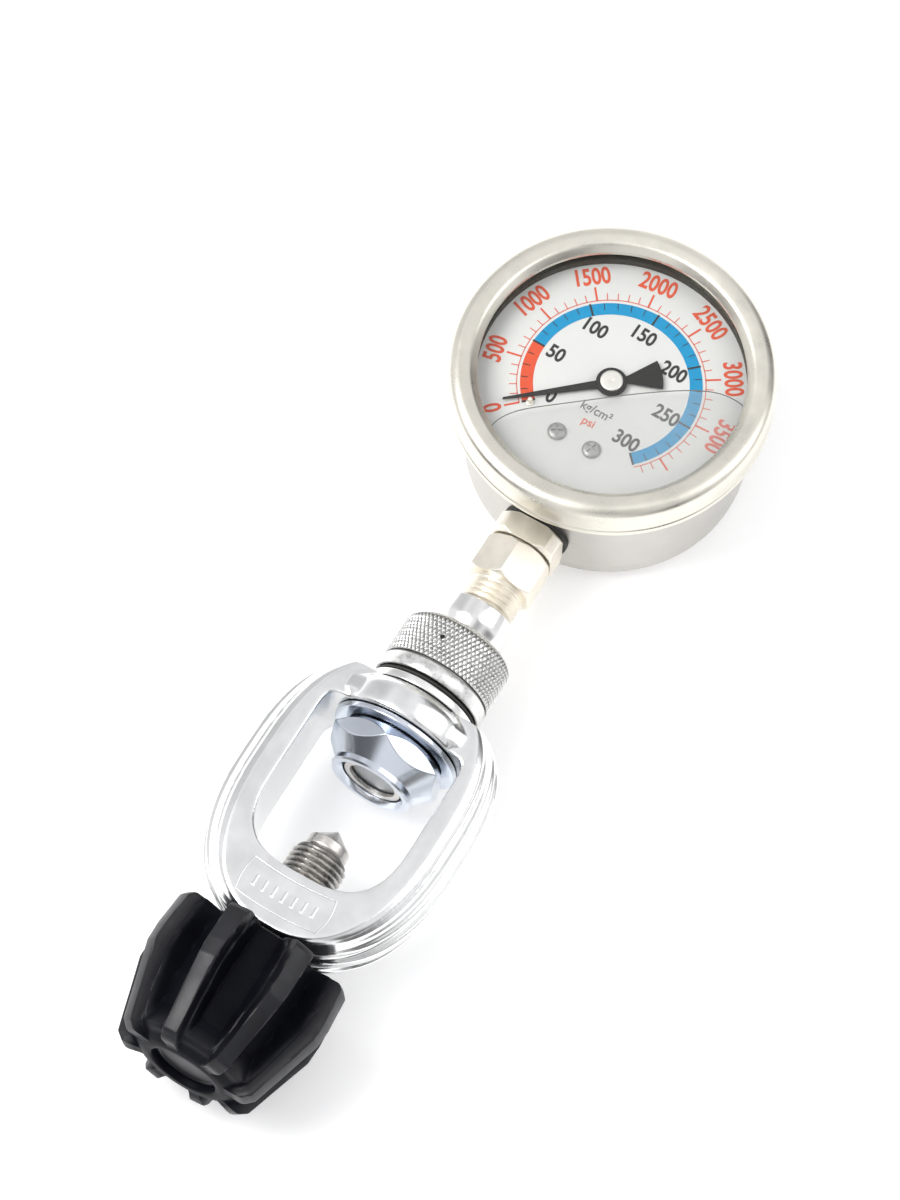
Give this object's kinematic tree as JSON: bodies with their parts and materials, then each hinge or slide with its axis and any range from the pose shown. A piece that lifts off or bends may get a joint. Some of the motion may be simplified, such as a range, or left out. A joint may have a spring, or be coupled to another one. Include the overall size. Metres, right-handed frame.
{
  "type": "cylinder valve pressure checker",
  "caption": "Yoke-clamp checker for a breathing-air cylinder valve: liquid-filled Bourdon gauge, bleed collar, swivelling yoke and black hand screw.",
  "frame": {"origin": "centre of the flat back of the gauge case, on the axis that the pointer turns about", "axes": "+Z out of the dial, +Y along the stem from the hand knob to the gauge, +X to the right of the dial with the stem down"},
  "size_m": [0.0684, 0.2042, 0.0449],
  "materials": {
    "brushed_steel": "brushed, warm satin",
    "chrome_plate": "bright chrome plate on forged and turned steel",
    "zinc_plate": "bright blue-white zinc plate",
    "nickel_plate": "nickel plate on brass",
    "turned_steel": "turned bright steel",
    "brass": "turned brass",
    "bronze": "drawn and sintered bronze",
    "black_rubber": "moulded rubber",
    "black_plastic": "fine-grained moulded plastic",
    "pointer_black": "matt black paint",
    "dial_white": "matt white paint with printed scales",
    "window_plastic": "clear polished"
  },
  "bodies": {
    "gauge_and_stem": {"case_cup": "brushed_steel", "bezel_ring": "brushed_steel", "window": "window_plastic", "window_gasket": "black_rubber", "dial_plate": "dial_white", "dial_screw_left": "turned_steel", "dial_screw_right": "turned_steel", "stop_pin": "nickel_plate", "filler_plug": "black_rubber", "gauge_socket": "nickel_plate", "socket_seal": "black_rubber", "restrictor_screw": "brass", "bourdon_tube": "bronze", "tube_tip": "brass", "movement_back_plate": "brass", "movement_front_plate": "brass", "movement_pillar_left": "brass", "movement_pillar_right": "brass", "movement_screw_left": "turned_steel", "movement_screw_right": "turned_steel", "hairspring": "bronze", "hex_adapter": "nickel_plate", "outlet_stem": "chrome_plate", "flange_ring": "chrome_plate", "thrust_washer": "zinc_plate", "retainer_nut": "zinc_plate", "filter_disc": "bronze", "filter_circlip": "turned_steel"},
    "pointer_assembly": {"pointer": "pointer_black", "pointer_cap": "nickel_plate", "pinion_arbor": "brass"},
    "sector": {"sector_gear": "brass", "sector_arbor": "turned_steel"},
    "link": {"link": "brass"},
    "collar_seal": {"collar_oring": "black_rubber"},
    "collar": {"bleed_collar": "chrome_plate"},
    "yoke": {"yoke": "chrome_plate"},
    "screw_tip": {"thrust_tip": "turned_steel"},
    "hand_screw": {"yoke_screw": "turned_steel", "knob": "black_plastic", "knob_insert": "brass", "knob_pin": "turned_steel", "knob_end_plug": "black_plastic"}
  },
  "joints": [
    {"name": "pointer_turn", "type": "hinge", "parent": "gauge_and_stem", "child": "pointer_assembly", "pos_m": [0, 0, 0.03], "axis": [0, 0, 1], "range_deg": [-267, 0], "deforming": ["hairspring"]},
    {"name": "sector_turn", "type": "hinge", "parent": "gauge_and_stem", "child": "sector", "pos_m": [0, -0.015, 0.0227], "axis": [0, 0, 1], "range_deg": [0, 42]},
    {"name": "link_turn", "type": "hinge", "parent": "sector", "child": "link", "pos_m": [0.005, -0.0162, 0.0238], "axis": [0, 0, 1], "range_deg": [-42, 0]},
    {"name": "bleed_lift", "type": "slide", "parent": "gauge_and_stem", "child": "collar_seal", "axis": [0, 1, 0], "range_m": [0, 0.0005]},
    {"name": "collar_turn", "type": "hinge", "parent": "collar_seal", "child": "collar", "pos_m": [0, -0.068, 0.0137], "axis": [0, 1, 0], "range_deg": [-180, 0]},
    {"name": "yoke_swivel", "type": "hinge", "parent": "gauge_and_stem", "child": "yoke", "pos_m": [0, -0.082, 0.0137], "axis": [0, 1, 0], "continuous": true},
    {"name": "screw_feed", "type": "slide", "parent": "yoke", "child": "screw_tip", "axis": [0, 1, 0], "range_m": [-0.014, 0]},
    {"name": "knob_turn", "type": "hinge", "parent": "screw_tip", "child": "hand_screw", "pos_m": [0, -0.15, 0.0137], "axis": [0, 1, 0], "range_deg": [-3960, 0]}
  ],
  "couplings": [
    {"joint": "sector_turn", "follows": "pointer_turn", "ratio": -0.15385},
    {"joint": "link_turn", "follows": "pointer_turn", "ratio": 0.15385},
    {"joint": "bleed_lift", "follows": "collar_turn", "m_per_rad": -0.00015915},
    {"joint": "screw_feed", "follows": "knob_turn", "m_per_rad": 0.00020213}
  ]
}
